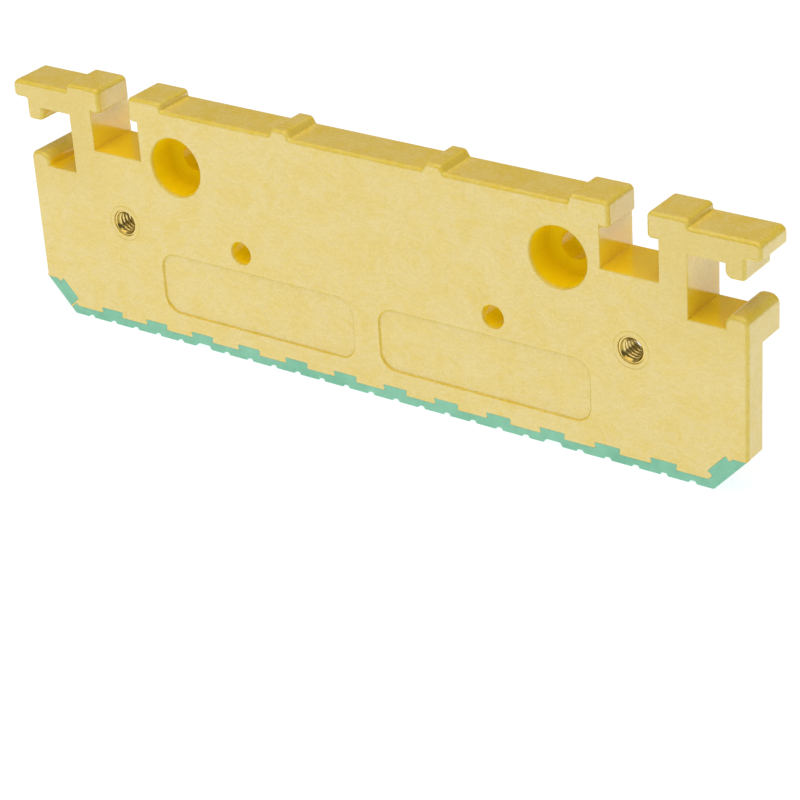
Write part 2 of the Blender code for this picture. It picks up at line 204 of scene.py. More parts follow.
# ---- colours -----------------------------------------------------------------
YELLOW_DEEP = (0.865, 0.645, 0.045)
YELLOW_LIGHT = (0.885, 0.675, 0.080)
FIBRE_YELLOW = (0.915, 0.80, 0.41)
# painted shade: darker tint on the fronts of the hanger heads and end posts
HEAD_SHADE_TINT = (0.95, 0.945, 0.90)
# painted shade: deeper yellow tint on the rounded edges
EDGE_SHADE_TINT = (0.92, 0.93, 0.64)
# painted shade and bounce light: amber low in the notches and pockets, paler on
# the flow marks
SLOT_SHADE_AMBER = (0.98, 0.66, 0.004)
SLOT_SHADE_AMBER_LIGHT = (1.0, 0.85, 0.05)
# painted shade and bounce light: amber inside the bolt and pin holes
BORE_SHADE_AMBER = (1.0, 0.77, 0.004)
GREEN_DEEP = (0.225, 0.63, 0.44)
GREEN_LIGHT = (0.300, 0.71, 0.52)
BRASS_DEEP = (0.86, 0.66, 0.22)
BRASS_LIGHT = (0.96, 0.80, 0.36)
# painted shade in the roots of the thread
BRASS_ROOT_SHADE = (0.46, 0.34, 0.08)

# ---- where the painted shade changes: each pair runs from no change to all of it ---
HEAD_SHADE_X = (78 * MM, 100 * MM)
HEAD_SHADE_Z = (28 * MM, 56 * MM)
BORE_DEPTH = (0.2 * MM, 1.6 * MM)
BORE_MARGIN = (0.9 * MM, 0.5 * MM)
SLOT_DEPTH = (0.1 * MM, 0.7 * MM)
SLOT_MARGIN = (0.3 * MM, 0.1 * MM)
SLOT_RISE = (10 * MM, 4 * MM)      # above a slot's floor
SLOT_FLOOR = (0.6 * MM, 0.3 * MM)  # below it
ROOT_MARGIN = (0.10 * MM, 0.15 * MM)   # inside the thread's two radii
FACING_FRONT = (-0.80, -0.97)      # the Y of a surface's direction
FACING_BACK = (0.4, 0.7)
LEANING = (0.985, 0.90)            # the largest of its X, Y and Z


# ---- outlines ----------------------------------------------------------------
def corner_arc(before, corner, after, steps):
    """Points of one (x, z, radius) corner between its two neighbours."""
    x, z, radius = corner
    if radius <= 0:
        return [(x, z)]
    back = math.atan2(before[1] - z, before[0] - x)
    ahead = math.atan2(after[1] - z, after[0] - x)
    opening = (ahead - back + math.pi) % (2 * math.pi) - math.pi
    half = abs(opening) / 2
    middle = back + opening / 2
    centre_x = x + radius / math.sin(half) * math.cos(middle)
    centre_z = z + radius / math.sin(half) * math.sin(middle)
    sweep = math.copysign(math.pi - 2 * half, opening)
    arc = []
    for step in range(steps + 1):
        angle = middle + math.pi + sweep * (0.5 - step / steps)
        arc.append((centre_x + radius * math.cos(angle),
                    centre_z + radius * math.sin(angle)))
    return arc


def corner_arcs(corners, steps=ARC_STEPS):
    """The points of every corner of a closed outline, corner by corner."""
    count = len(corners)
    return [corner_arc(corners[i - 1], corners[i], corners[(i + 1) % count],
                       steps) for i in range(count)]


def rounded(corners, steps=ARC_STEPS):
    """Outline through (x, z, radius) corners, each turned into an arc."""
    return [point for arc in corner_arcs(corners, steps) for point in arc]


def leg_corners():
    """Corners (x, z, radius) of the leg's right half from the ground up, in
    five runs. Each run starts on the corner that ends the one before."""
    half_base = HUMP_BASE / 2
    half_top = HUMP_TOP / 2
    plate = [(CHAMFER_X, 0, CHAMFER_ROUND), (WALL_X, CHAMFER_TOP, 0),
             (WALL_X, LEDGE_Z, 0)]
    band = [(WALL_X, LEDGE_Z, 0),
            (WALL_X, POST_TOP, POST_OUT_ROUND),
            (POST_X, POST_TOP, POST_IN_ROUND),
            (POST_X, NOTCH_Z, 0), (STEM_OUT_X, NOTCH_Z, 0),
            (STEM_OUT_X, ARM_UNDER, 0)]
    head = [(STEM_OUT_X, ARM_UNDER, 0),
            (HOOK_IN_X, ARM_UNDER, 0), (HOOK_IN_X, HOOK_Z, HOOK_ROUND),
            (HOOK_OUT_X, HOOK_Z, TIP_ROUND),
            (HOOK_OUT_X, ARM_END_UNDER, NOOK_ROUND),
            (ARM_X, ARM_END_UNDER, TIP_ROUND), (ARM_X, LOW_TOP, ARM_ROUND),
            (HEAD_STEP_X, LOW_TOP, NOOK_ROUND),
            (HEAD_STEP_X, HIGH_TOP, STEP_ROUND),
            (HEAD_IN_X, HIGH_TOP, TOP_ROUND),
            (HEAD_IN_X, LIP_UNDER, TIP_ROUND),
            (STEM_IN_X, LIP_UNDER, 0)]
    pocket = [(STEM_IN_X, LIP_UNDER, 0), (STEM_IN_X, POCKET_Z, 0),
              (BLOCK_X, POCKET_Z, 0), (BLOCK_X, LIP_UNDER, 0)]
    block = [(BLOCK_X, LIP_UNDER, 0),
             (LIP_X, LIP_UNDER, TIP_ROUND), (LIP_X, HIGH_TOP, TOP_ROUND),
             (BLOCK_STEP_X, HIGH_TOP, STEP_ROUND),
             (BLOCK_STEP_X, LOW_TOP, NOOK_ROUND),
             (HUMP_X + half_base, LOW_TOP, HUMP_ROUND),
             (HUMP_X + half_top, HIGH_TOP, STEP_ROUND),
             (HUMP_X - half_top, HIGH_TOP, STEP_ROUND),
             (HUMP_X - half_base, LOW_TOP, HUMP_ROUND)]
    return plate, band, head, pocket, block


def leg_outline():
    """Right half of the leg as runs of (x, z) points, each with the depth of
    the wall behind it: plate, band, head, pocket and block."""
    runs = leg_corners()
    right = runs[0][:1]
    for corners in runs:
        right += corners[1:]
    arcs = corner_arcs(both_sides(right))
    outline = []
    start = 0
    for corners, depth in zip(runs, (PLATE, BAND, HEAD, BAND, HEAD)):
        end = start + len(corners)
        points = [point for arc in arcs[start:end] for point in arc]
        outline.append((points, depth))
        start = end - 1
    return outline


def both_sides(right):
    """Points of a right half, followed by its mirror image."""
    left = [(-corner[0], *corner[1:]) for corner in reversed(right)]
    return right + left


def on_chamfer(along, inwards):
    """Point given along the right chamfer from the ground and square to it."""
    length = math.hypot(WALL_X - CHAMFER_X, CHAMFER_TOP)
    run = (WALL_X - CHAMFER_X) / length
    rise = CHAMFER_TOP / length
    return (CHAMFER_X + along * run - inwards * rise,
            along * rise + inwards * run)


def chamfer_inwards_at(z, inwards):
    """X of the line that lies a distance inside the right chamfer."""
    foot_x, foot_z = on_chamfer(0, inwards)
    return foot_x + (z - foot_z) * (WALL_X - CHAMFER_X) / CHAMFER_TOP


def corner_seam():
    """Seam between plastic and rubber round the right corner, ground upwards."""
    start = CORNER_KEY_START
    end = CORNER_KEY_END
    return [
        (chamfer_inwards_at(FOOT_LINE, CORNER_LAYER), FOOT_LINE),
        on_chamfer(start + CORNER_UNDERCUT, CORNER_LAYER),
        on_chamfer(start, CORNER_KEY),
        on_chamfer(end, CORNER_KEY),
        on_chamfer(end - CORNER_UNDERCUT, CORNER_LAYER),
        (chamfer_inwards_at(CORNER_TOP, CORNER_LAYER), CORNER_TOP),
        (WALL_X + REACH, CORNER_TOP),
    ]


def key_seam():
    """Seam along the bottom with its row of dovetail keys, left to right."""
    seam = []
    for index in range(KEY_COUNT):
        centre = (2 * index - KEY_COUNT + 1) * PITCH
        seam.append((centre - KEY_NECK / 2, FOOT_LINE))
        seam.append((centre - KEY_WIDE / 2, KEY_TOP))
        seam.append((centre + KEY_WIDE / 2, KEY_TOP))
        seam.append((centre + KEY_NECK / 2, FOOT_LINE))
    return seam


def moved(line, distance):
    """Open line moved to its left by a distance, with mitred corners."""
    normals = []
    for (ax, az), (bx, bz) in zip(line, line[1:]):
        length = math.hypot(bx - ax, bz - az)
        normals.append(((az - bz) / length, (bx - ax) / length))
    result = []
    for i, (x, z) in enumerate(line):
        before = normals[max(i - 1, 0)]
        after = normals[min(i, len(normals) - 1)]
        spread = 1 + before[0] * after[0] + before[1] * after[1]
        result.append((x + distance * (before[0] + after[0]) / spread,
                       z + distance * (before[1] + after[1]) / spread))
    return result


def soft_corners(area, fixed):
    """Round an area's corners a little, apart from the first and the last few."""
    count = len(area)
    corners = []
    for i, (x, z) in enumerate(area):
        inner = 0 < i < count - fixed
        corners.append((x, z, KEY_ROUND if inner else 0))
    return rounded(corners, FEW_STEPS)


def strip_area(clearance):
    """Rubber strip with its right corner; its left end stops at the web."""
    end_along = CORNER_KEY_START - WEB / 2
    inner_x, inner_z = on_chamfer(end_along, CORNER_LAYER)
    outer_x, outer_z = on_chamfer(end_along, -REACH)
    start = chamfer_inwards_at(FOOT_LINE, CORNER_LAYER)
    seam = [(-outer_x, outer_z), (-inner_x, inner_z), (-start, FOOT_LINE)]
    line = moved(seam + key_seam() + corner_seam(), clearance)
    below = [(line[-1][0], -REACH), (line[0][0], -REACH)]
    return soft_corners(line + below, 3)


def pad_area(clearance):
    """Rubber pad on the left chamfer, above the web."""
    start = CORNER_KEY_START + WEB / 2
    low_x, low_z = on_chamfer(start, CORNER_KEY)
    out_x, out_z = on_chamfer(start, -REACH)
    upper = [(-x, z) for x, z in reversed(corner_seam()[3:])]
    area = moved(upper + [(-low_x, low_z), (-out_x, out_z)], clearance)
    return soft_corners(area + [(-WALL_X - REACH, out_z - REACH)], 2)


# ---- solids ------------------------------------------------------------------
def add_object(name, bm):
    """New object with the faces of a bmesh, which is used up."""
    mesh = bpy.data.meshes.new(name)
    bm.to_mesh(mesh)
    bm.free()
    made = bpy.data.objects.new(name, mesh)
    bpy.context.scene.collection.objects.link(made)
    return made


def add_solid(name, bm):
    """New object from a closed bmesh, its faces turned outwards."""
    bmesh.ops.recalc_face_normals(bm, faces=bm.faces)
    return add_object(name, bm)


def prism(name, outline, front, back, back_outline=None):
    """Solid of a front-view outline between two depths. With an outline of
    its own at the back, the walls slope."""
    bm = bmesh.new()
    near = [bm.verts.new((x, front, z)) for x, z in outline]
    far = [bm.verts.new((x, back, z)) for x, z in back_outline or outline]
    bm.faces.new(near)
    bm.faces.new(list(reversed(far)))
    count = len(outline)
    for i in range(count):
        j = (i + 1) % count
        bm.faces.new((near[i], far[i], far[j], near[j]))
    return add_solid(name, bm)


def ring_of(bm, x, z, radii, y):
    """Ring of vertices about an axis along Y, one for each radius."""
    ring = []
    for side, radius in enumerate(radii):
        angle = 2 * math.pi * side / len(radii)
        ring.append(bm.verts.new((x + radius * math.cos(angle), y,
                                  z + radius * math.sin(angle))))
    return ring


def turned(name, profile, x, z):
    """Profile of (radius, depth from the front face) turned about an axis
    along Y. Points on the axis close the ends."""
    bm = bmesh.new()
    rings = []
    for radius, depth in profile:
        if radius == 0:
            rings.append([bm.verts.new((x, FRONT + depth, z))])
        else:
            rings.append(ring_of(bm, x, z, [radius] * ROUND_SIDES,
                                 FRONT + depth))
    pairs = list(zip(rings, rings[1:]))
    if profile[0][0] > 0:
        pairs.append((rings[-1], rings[0]))
    for one, two in pairs:
        for side in range(ROUND_SIDES):
            after = (side + 1) % ROUND_SIDES
            corners = [one[side % len(one)], one[after % len(one)],
                       two[after % len(two)], two[side % len(two)]]
            bm.faces.new(list(dict.fromkeys(corners)))
    return add_solid(name, bm)


def boolean(solid, cutter, operation="DIFFERENCE"):
    """Cut a solid with another, or keep what both share."""
    cut = solid.modifiers.new(cutter.name, "BOOLEAN")
    cut.operation = operation
    cut.object = cutter
    cut.solver = "EXACT"


def settled(solid, cutters=()):
    """Apply the modifiers, collapse slivers that the cuts leave, smooth the
    shading and drop the cutters."""
    bpy.context.view_layer.update()
    seen = solid.evaluated_get(bpy.context.evaluated_depsgraph_get())
    mesh = bpy.data.meshes.new_from_object(seen)
    solid.modifiers.clear()
    solid.data = mesh
    for cutter in cutters:
        bpy.data.objects.remove(cutter, do_unlink=True)
    bm = bmesh.new()
    bm.from_mesh(mesh)
    bmesh.ops.dissolve_degenerate(bm, edges=bm.edges, dist=SLIVER)
    bm.to_mesh(mesh)
    bm.free()
    mesh.shade_smooth()
    mesh.set_sharp_from_angle(angle=SMOOTH_ANGLE)
    weighted = solid.modifiers.new("Flat faces stay flat", "WEIGHTED_NORMAL")
    weighted.keep_sharp = True
    weighted.weight = FLAT_WEIGHT
    return solid


def edge_round(edge):
    """How far one edge of the leg is rounded, from where it lies."""
    if any(vert.co.y > FRONT + FRONT_SLACK for vert in edge.verts):
        return BACK_ROUND
    x, _, z = (edge.verts[0].co + edge.verts[1].co) / 2
    notch = (STEM_OUT_X - TOUCH < abs(x) < POST_X - TOUCH
             and NOTCH_Z - TOUCH < z < ARM_UNDER + TOUCH)
    pocket = (BLOCK_X - TOUCH < abs(x) < STEM_IN_X + TOUCH
              and POCKET_Z - TOUCH < z < LIP_UNDER - TOUCH)
    if notch or pocket or z < CHAMFER_TOP - TOUCH:
        return INNER_ROUND
    return OUTER_ROUND


def place_key(*place):
    """The same key for points in the same place."""
    return tuple(round(number * PLACES) for number in place)


class Faces:
    """Bmesh made face by face from points (x, depth from the front face, z).
    Points in the same place become one vertex."""

    def __init__(self):
        self.bm = bmesh.new()
        self.found = {}

    def vert(self, x, depth, z):
        key = place_key(x, depth, z)
        if key not in self.found:
            self.found[key] = self.bm.verts.new((x, FRONT + depth, z))
        return self.found[key]

    def add(self, points):
        corners = dict.fromkeys(self.vert(*point) for point in points)
        self.bm.faces.new(list(corners))


def add_walls(faces, runs):
    """Walls behind the outline. Where runs of unlike depth meet, the deeper
    wall takes in a point at the other's depth."""
    depths = {}
    for run, depth in runs:
        for x, z in (run[0], run[-1]):
            depths.setdefault(place_key(x, z), set()).add(depth)
    for index, (run, depth) in enumerate(runs):
        joined = run + [runs[(index + 1) % len(runs)][0][0]]
        for (ax, az), (bx, bz) in zip(joined, joined[1:]):
            if (ax, az) == (bx, bz):
                continue
            wall = [(ax, 0, az), (bx, 0, bz)]
            for x, z, order in ((bx, bz, 1), (ax, az, -1)):
                stops = depths.get(place_key(x, z), set())
                stops = {stop for stop in stops if stop < depth} | {depth}
                wall += [(x, stop, z) for stop in sorted(stops)[::order]]
            faces.add(wall)


def add_back(faces, right):
    """Faces that close the leg behind: the plate, the ledge above it, the step
    below the block, the band, the block and both hanger heads."""
    plate, band, head, pocket, block = (run for run, depth in right)
    stem_top = [(STEM_OUT_X, LIP_UNDER), (STEM_IN_X, LIP_UNDER)]
    faces.add(both_sides([(x, PLATE, z) for x, z in plate]))
    faces.add(both_sides([(WALL_X, PLATE, LEDGE_Z), (WALL_X, BAND, LEDGE_Z)]))
    faces.add(both_sides([(BLOCK_X, HEAD, LIP_UNDER),
                          (BLOCK_X, BAND, LIP_UNDER)]))
    faces.add(both_sides([(x, BAND, z) for x, z in band + stem_top + pocket]))
    faces.add(both_sides([(x, HEAD, z) for x, z in block]))
    hanger = [
        [(x, HEAD, z) for x, z in head + stem_top[:1]],
        [(STEM_OUT_X, HEAD, LIP_UNDER), (STEM_IN_X, HEAD, LIP_UNDER),
         (STEM_IN_X, BAND, LIP_UNDER), (STEM_OUT_X, BAND, LIP_UNDER)],
        [(STEM_OUT_X, HEAD, ARM_UNDER), (STEM_OUT_X, HEAD, LIP_UNDER),
         (STEM_OUT_X, BAND, LIP_UNDER), (STEM_OUT_X, BAND, ARM_UNDER)],
    ]
    for side in (1, -1):
        for points in hanger:
            faces.add([(side * x, depth, z) for x, depth, z in points])


def leg_blank(name):
    """Whole leg, stepped in depth behind, before its holes and seam."""
    right = leg_outline()
    left = [([(-x, z) for x, z in reversed(run)], depth)
            for run, depth in reversed(right)]
    runs = right + left
    faces = Faces()
    faces.add([(x, 0, z) for run, depth in runs for x, z in run])
    add_walls(faces, runs)
    add_back(faces, right)
    bm = faces.bm
    bmesh.ops.recalc_face_normals(bm, faces=bm.faces)
    weights = bm.edges.layers.float.new("bevel_weight_edge")
    for edge in bm.edges:
        if edge.calc_face_angle(0) >= BEVEL_ANGLE:
            edge[weights] = edge_round(edge) / OUTER_ROUND
    blank = add_object(name, bm)
    edges = blank.modifiers.new("Edges", "BEVEL")
    edges.width = OUTER_ROUND
    edges.segments = BEVEL_STEPS
    edges.limit_method = "WEIGHT"
    edges.loop_slide = False
    edges.use_clamp_overlap = False
    return blank


def mouth_profile(radius, flare=MOUTH_ROUND):
    """Start of a hole's profile, its mouth flared round at the front face."""
    profile = [(0, -REACH), (radius + flare, -REACH)]
    for step in range(ARC_STEPS + 1):
        angle = math.pi / 2 * step / ARC_STEPS
        profile.append((radius + flare * (1 - math.sin(angle)),
                        flare * (1 - math.cos(angle))))
    return profile


def bolt_profile():
    """Counterbore for a bolt head with a through hole in its floor."""
    through = BAND + REACH
    return mouth_profile(BOLT_HEAD_R) + [
        (BOLT_HEAD_R, BOLT_HEAD_DEPTH - SEAT_CORNER),
        (BOLT_HEAD_R - SEAT_CORNER, BOLT_HEAD_DEPTH),
        (BOLT_HOLE_R + SEAT_CORNER, BOLT_HEAD_DEPTH),
        (BOLT_HOLE_R, BOLT_HEAD_DEPTH + SEAT_CORNER),
        (BOLT_HOLE_R, through), (0, through)]


def pin_profile():
    """Plain hole through the lower plate."""
    return mouth_profile(PIN_HOLE_R, PIN_MOUTH) + [
        (PIN_HOLE_R, PLATE + REACH), (0, PLATE + REACH)]


def socket_profile():
    """Room for an insert, a hairline wider than the insert."""
    return [(0, -REACH), (INSERT_R + GAP, -REACH),
            (INSERT_R + GAP, PLATE + REACH), (0, PLATE + REACH)]


def ring_profile():
    """Fine V-shaped groove in the front face round an insert."""
    half = RING_WIDE / 2
    return [(RING_R - half, -REACH), (RING_R + half, -REACH),
            (RING_R + half, 0), (RING_R, RING_DEEP), (RING_R - half, 0)]


def panel_outline(side, steep, slant):
    """Rounded outline of one panel, moved out by one distance on the left and
    at the bottom, and by another on the right and at the top."""
    left, right = sorted((side * PANEL_IN_X, side * PANEL_OUT_X))
    left -= steep
    right += slant
    low, high = PANEL_LOW - steep, PANEL_HIGH + slant
    radius = PANEL_ROUND + (steep + slant) / 2
    return rounded([(left, low, radius), (right, low, radius),
                    (right, high, radius), (left, high, radius)])


def panel_cutter(name, side):
    """Cutter of one shallow panel, half of it in front of the face. Its walls
    slope inwards."""
    return prism(name, panel_outline(side, PANEL_STEEP, PANEL_SLANT),
                 FRONT - PANEL_DEPTH, FRONT + PANEL_DEPTH,
                 panel_outline(side, -PANEL_STEEP, -PANEL_SLANT))


def make_leg():
    """Moulded leg with room for the rubber and the inserts, its holes and its
    two panels."""
    leg = leg_blank("leg")
    rooms = [prism("strip_room", strip_area(GAP / 2), FRONT - REACH, REACH),
             prism("pad_room", pad_area(GAP / 2), FRONT - REACH, REACH)]
    for side in (-1, 1):
        rooms.append(turned("bolt", bolt_profile(), side * BOLT_X, BOLT_Z))
        rooms.append(turned("pin", pin_profile(), side * PIN_HOLE_X,
                            PIN_HOLE_Z))
        rooms.append(turned("socket", socket_profile(), side * INSERT_X,
                            INSERT_Z))
        rooms.append(turned("ring", ring_profile(), side * INSERT_X,
                            INSERT_Z))
        rooms.append(panel_cutter("panel", side))
    for room in rooms:
        boolean(leg, room)
    return settled(leg, rooms)


def groove_cutters():
    """Cutters of the grip grooves across the underside of the foot."""
    grooves = []
    for index in range(-GROOVES, GROOVES + 1):
        big = abs(index) == BIG_GROOVE
        wide = BIG_GROOVE_WIDE if big else GROOVE_WIDE
        deep = BIG_GROOVE_DEEP if big else GROOVE_DEEP
        low, high = index * PITCH - wide / 2, index * PITCH + wide / 2
        slope = deep / 2
        outline = [(low, -REACH, 0), (high, -REACH, 0), (high, 0, 0),
                   (high - slope, deep, GROOVE_ROUND),
                   (low + slope, deep, GROOVE_ROUND), (low, 0, 0)]
        grooves.append(prism("groove", rounded(outline, FEW_STEPS),
                             FRONT - REACH, REACH))
    return grooves


def make_strip():
    """The part of the leg's outer shape that the rubber strip fills, with its
    grip grooves."""
    strip = leg_blank("rubber_strip")
    shape = prism("shape", strip_area(-GAP / 2), FRONT - REACH, REACH)
    boolean(strip, shape, "INTERSECT")
    grooves = groove_cutters()
    for groove in grooves:
        boolean(strip, groove)
    return settled(strip, grooves + [shape])


def make_pad():
    """The part of the leg's outer shape that the corner pad fills."""
    pad = leg_blank("rubber_corner_pad")
    shape = prism("shape", pad_area(-GAP / 2), FRONT - REACH, REACH)
    boolean(pad, shape, "INTERSECT")
    return settled(pad, [shape])


# ---- threaded inserts --------------------------------------------------------
def thread_radius(turn, depth):
    """Radius of the threaded bore where a turn of the thread meets a depth.
    The bore opens to a chamfered mouth in front."""
    phase = (depth / THREAD_PITCH - turn) % 1.0
    ridge = 1 - abs(2 * phase - 1)
    ridge = min(max((ridge - THREAD_ROOT) / THREAD_FLANK, 0), 1)
    thread = THREAD_MAJOR - (THREAD_MAJOR - THREAD_MINOR) * ridge
    return max(thread, MOUTH_R - depth)


def insert_outline(length):
    """Outer side of the insert as (radius, depth, knurled), back to front."""
    low = INSERT_R - KNURL_DEEP
    side = [(INSERT_R - RIM, 0, False), (INSERT_R, RIM, False),
            (INSERT_R, COLLAR, False), (low, NECK_START, False),
            (low, NECK_END, False), (INSERT_R, KNURL_START, True)]
    far = [(radius, length - depth, knurled)
           for radius, depth, knurled in reversed(side)]
    return list(reversed(side + far))


def insert_rings(length):
    """Rings of (radii all the way round, depth) that the insert is made of:
    the bore from front to back, then the outer side to the front again."""
    turns = [side / THREAD_SIDES for side in range(THREAD_SIDES)]
    rows = int(length / (THREAD_PITCH / THREAD_ROWS))
    rings = []
    for row in range(rows + 1):
        depth = length * row / rows
        rings.append(([thread_radius(turn, depth) for turn in turns], depth))
    for radius, depth, knurled in insert_outline(length):
        cut = KNURL_DEEP / 2 if knurled else 0
        radii = [radius - cut * (1 + math.cos(2 * math.pi * turn * KNURLS))
                 for turn in turns]
        rings.append((radii, depth))
    return rings


def make_insert(name, x):
    """Brass insert: helical thread inside, knurled outside, bevelled rims."""
    bm = bmesh.new()
    rings = [ring_of(bm, x, INSERT_Z, radii, INSERT_NEAR + depth)
             for radii, depth in insert_rings(INSERT_FAR - INSERT_NEAR)]
    for one, two in zip(rings, rings[1:] + rings[:1]):
        for side in range(THREAD_SIDES):
            after = (side + 1) % THREAD_SIDES
            bm.faces.new((one[side], one[after], two[after], two[side]))
    insert = add_solid(name, bm)
    insert.data.shade_smooth()
    insert.data.set_sharp_from_angle(angle=INSERT_SMOOTH)
    return insert


# ---- materials ---------------------------------------------------------------
class Nodes:
    """A new material, with short calls that add and link its shader nodes."""

    def __init__(self, name):
        self.material = bpy.data.materials.new(name)
        self.material.use_nodes = True
        self.tree = self.material.node_tree
        self.shader = self.tree.nodes["Principled BSDF"]

    def add(self, kind, **values):
        node = self.tree.nodes.new(kind)
        for key, value in values.items():
            if key in node.inputs:
                node.inputs[key].default_value = value
            else:
                setattr(node, key, value)
        return node

    def link(self, output, target):
        self.tree.links.new(output, target)

    def set(self, name, value):
        self.shader.inputs[name].default_value = value

    def feed(self, name, output):
        self.link(output, self.shader.inputs[name])

    def coordinate(self, name):
        return self.add("ShaderNodeTexCoord").outputs[name]

    def axes(self, vector):
        """X, Y and Z of a vector."""
        split = self.add("ShaderNodeSeparateXYZ")
        self.link(vector, split.inputs[0])
        return [split.outputs[axis] for axis in "XYZ"]

    def stretched(self, vector, scale, rotation=(0, 0, 0)):
        node = self.add("ShaderNodeMapping", Scale=scale, Rotation=rotation)
        self.link(vector, node.inputs["Vector"])
        return node.outputs["Vector"]

    def ramp(self, factor, stops):
        """Colour between two (place, colour) stops."""
        node = self.add("ShaderNodeValToRGB")
        for stop, (place, color) in zip(node.color_ramp.elements, stops):
            stop.position = place
            stop.color = (*color, 1)
        self.link(factor, node.inputs["Fac"])
        return node.outputs["Color"]

    def mix(self, factor, one, two, blend="MIX"):
        node = self.add("ShaderNodeMix", data_type="RGBA", blend_type=blend)
        if isinstance(factor, float):
            node.inputs["Factor"].default_value = factor
        else:
            self.link(factor, node.inputs["Factor"])
        for socket, value in (("A", one), ("B", two)):
            target = [s for s in node.inputs
                      if s.name == socket and s.type == "RGBA"][0]
            if isinstance(value, tuple):
                target.default_value = (*value, 1)
            else:
                self.link(value, target)
        return [s for s in node.outputs if s.type == "RGBA"][0]

    def tinted(self, mask, color, tint):
        """Colour multiplied by a tint where the mask is 1."""
        return self.mix(mask, color, self.mix(1.0, color, tint, "MULTIPLY"))

    def math(self, operation, one, two=0.0):
        node = self.add("ShaderNodeMath", operation=operation)
        for index, value in enumerate((one, two)):
            if isinstance(value, (int, float)):
                node.inputs[index].default_value = value
            else:
                self.link(value, node.inputs[index])
        return node.outputs[0]

    def times(self, one, two):
        return self.math("MULTIPLY", one, two)

    def line(self, value, slope, start):
        """A value times a slope, plus a start."""
        return self.math("ADD", self.times(value, slope), start)

    def blend(self, one, share_one, two, share_two):
        """Sum of two values, each times its share."""
        return self.math("ADD", self.times(one, share_one),
                         self.times(two, share_two))

    def less(self, mask, share):
        """1 where the mask is 0, and less by a share where it is 1."""
        return self.math("SUBTRACT", 1.0, self.times(mask, share))

    def distance(self, across, up):
        """Length of a step across and up."""
        squares = self.math("ADD", self.times(across, across),
                            self.times(up, up))
        return self.math("SQRT", squares)

    def smooth(self, value, start, end):
        """0 where the value is at start, 1 at end, eased between."""
        node = self.add("ShaderNodeMapRange",
                        interpolation_type="SMOOTHSTEP")
        self.link(value, node.inputs["Value"])
        node.inputs["From Min"].default_value = start
        node.inputs["From Max"].default_value = end
        return node.outputs["Result"]

    def noise(self, place, scale, detail, roughness=0.5, distortion=0.0):
        node = self.add("ShaderNodeTexNoise", Scale=scale, Detail=detail,
                        Roughness=roughness, Distortion=distortion)
        self.link(place, node.inputs["Vector"])
        return node.outputs["Fac"]

    def swirled(self, place, scale, reach):
        """Place pushed about by a broad noise, so marks bend like a flow."""
        push = self.add("ShaderNodeTexNoise", Scale=scale, Detail=2.0,
                        Roughness=0.5)
        self.link(place, push.inputs["Vector"])
        scaled = self.add("ShaderNodeVectorMath", operation="SCALE")
        scaled.inputs["Scale"].default_value = reach
        self.link(push.outputs["Color"], scaled.inputs[0])
        pushed = self.add("ShaderNodeVectorMath", operation="ADD")
        self.link(place, pushed.inputs[0])
        self.link(scaled.outputs[0], pushed.inputs[1])
        return pushed.outputs[0]

    def ridges(self, place, scale, distortion):
        """Thin curved threads, where a twisted noise passes its middle."""
        noise = self.noise(place, scale, 3, 0.55, distortion)
        off = self.math("ABSOLUTE", self.math("SUBTRACT", noise, 0.5))
        return self.smooth(off, 0.07, 0.01)

    def bump(self, height, strength, distance):
        node = self.add("ShaderNodeBump", Strength=strength,
                        Distance=distance)
        self.link(height, node.inputs["Height"])
        self.feed("Normal", node.outputs["Normal"])


def plastic_material():
    """Satin yellow moulded plastic with pale flow marks from short fibres.
    Painted shade and bounce light deepen the colour to amber in the bolt and pin
    holes and low in the notches and pockets; painted shade also darkens the
    hanger head fronts and tints the rounded edges deeper yellow."""
    n = Nodes("yellow_plastic")
    place = n.coordinate("Object")
    broad = n.noise(place, scale=45, detail=5, roughness=0.6, distortion=1.2)
    fine = n.noise(place, scale=1500, detail=2)
    heads = shaded_head_fronts(n, place)
    edges = shaded_rounded_edges(n)
    bore_shade_mask, slot_shade_mask = sunken_shade_masks(n, place)
    marks, threads = flow_marks(n, place)
    # painted shade: the flow marks fade on the shaded head fronts
    marks = n.times(marks, n.less(heads, 0.55))

    color = n.ramp(broad, [(0.30, YELLOW_DEEP), (0.70, YELLOW_LIGHT)])
    color = n.mix(marks, color, FIBRE_YELLOW)
    # painted shade: the fronts of the hanger heads and end posts are tinted
    # darker
    color = n.tinted(heads, color, HEAD_SHADE_TINT)
    grain = n.math("ADD", n.blend(fine, 0.26, threads, 0.035), 0.86)
    color = n.mix(1.0, color, grain, "MULTIPLY")
    # painted shade: the rounded edges are tinted deeper yellow
    color = n.tinted(edges, color, EDGE_SHADE_TINT)
    # painted shade and bounce light: amber low in the notches and pockets
    amber = n.mix(marks, SLOT_SHADE_AMBER, SLOT_SHADE_AMBER_LIGHT)
    color = n.mix(slot_shade_mask, color, amber)
    # painted shade and bounce light: amber inside the bolt and pin holes
    color = n.mix(bore_shade_mask, color, BORE_SHADE_AMBER)
    n.feed("Base Color", color)

    rough = n.times(n.line(broad, 0.10, 0.13), n.less(slot_shade_mask, 0.45))
    n.feed("Roughness", n.math("ADD", rough, n.times(edges, 0.22)))
    n.bump(n.blend(marks, 0.6, fine, 0.4), strength=0.10, distance=0.0003)
    shine = n.math("SUBTRACT", n.less(bore_shade_mask, 0.85), n.times(edges, 0.5))
    n.feed("Specular IOR Level", shine)
    n.set("IOR", 1.75)
    return n.material


